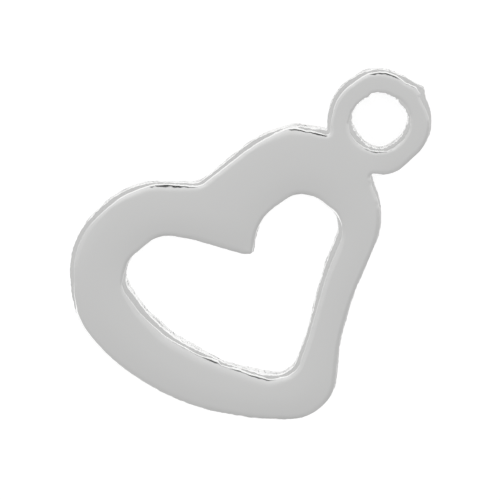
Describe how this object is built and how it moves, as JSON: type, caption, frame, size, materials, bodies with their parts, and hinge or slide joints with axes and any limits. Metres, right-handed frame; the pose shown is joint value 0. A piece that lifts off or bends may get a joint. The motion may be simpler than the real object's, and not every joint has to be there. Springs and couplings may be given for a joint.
{
  "type": "heart charm",
  "caption": "Flat polished metal charm stamped as an open, leaning heart with an integral round hanging loop at its top.",
  "frame": {"origin": "on the axis of the loop's bore, level with the flat back face", "axes": "+Z along the loop's bore, out of the polished front face; +Y from the heart towards the loop, which is up as the charm hangs; the heart lies on its side below the loop, with its cleft towards -X and its tip towards +X"},
  "size_m": [0.01, 0.0138, 0.001],
  "materials": {
    "silver": "mirror-polished sterling silver with softly tumbled edges"
  },
  "bodies": {
    "root": {"heart_charm": "silver"}
  },
  "joints": []
}
